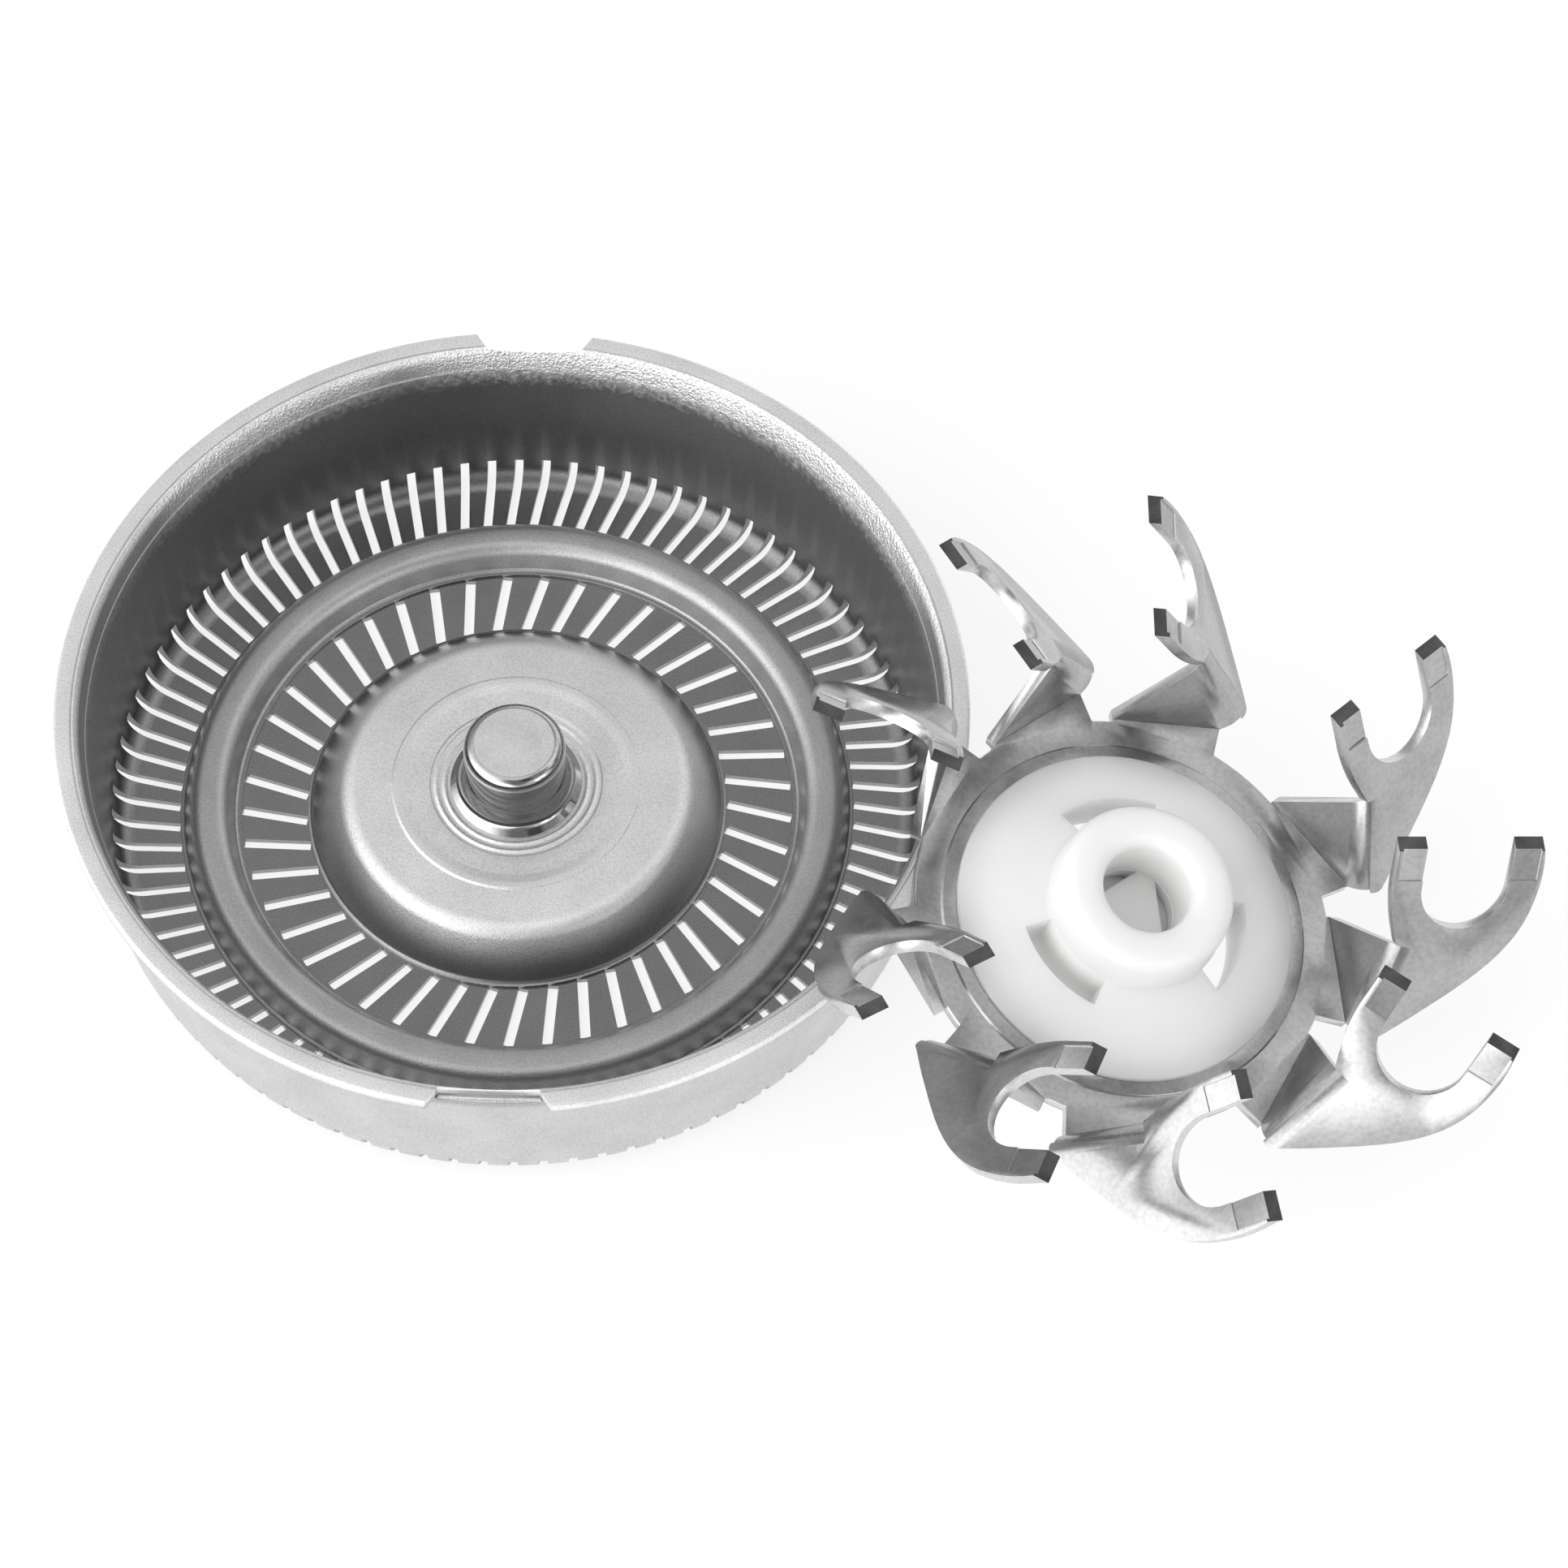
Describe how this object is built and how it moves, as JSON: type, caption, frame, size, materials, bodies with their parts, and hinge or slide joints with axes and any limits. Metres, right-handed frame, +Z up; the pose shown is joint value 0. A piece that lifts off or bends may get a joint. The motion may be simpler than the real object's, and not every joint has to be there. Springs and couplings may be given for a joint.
{
  "type": "rotary shaver head",
  "caption": "Rotary shaver head, taken apart: slotted metal guard cup with a centre pin, and a forked-arm cutter wheel on a plastic drive hub leaning on its rim.",
  "frame": {"origin": "centre of the set's bounding box, on the plane that the guard lies on", "axes": "+X from the guard towards the cutter, +Y away from the viewer of the picture, +Z up, out of the guard's open side"},
  "size_m": [0.0484, 0.0346, 0.0142],
  "materials": {
    "guard_steel": "satin",
    "pin_steel": "polished",
    "cutter_steel": "satin",
    "hub_plastic": "semi-gloss"
  },
  "bodies": {
    "root": {"guard_cup": "guard_steel", "centre_pin": "pin_steel", "cutter_wheel": "cutter_steel", "drive_hub": "hub_plastic"}
  },
  "joints": []
}
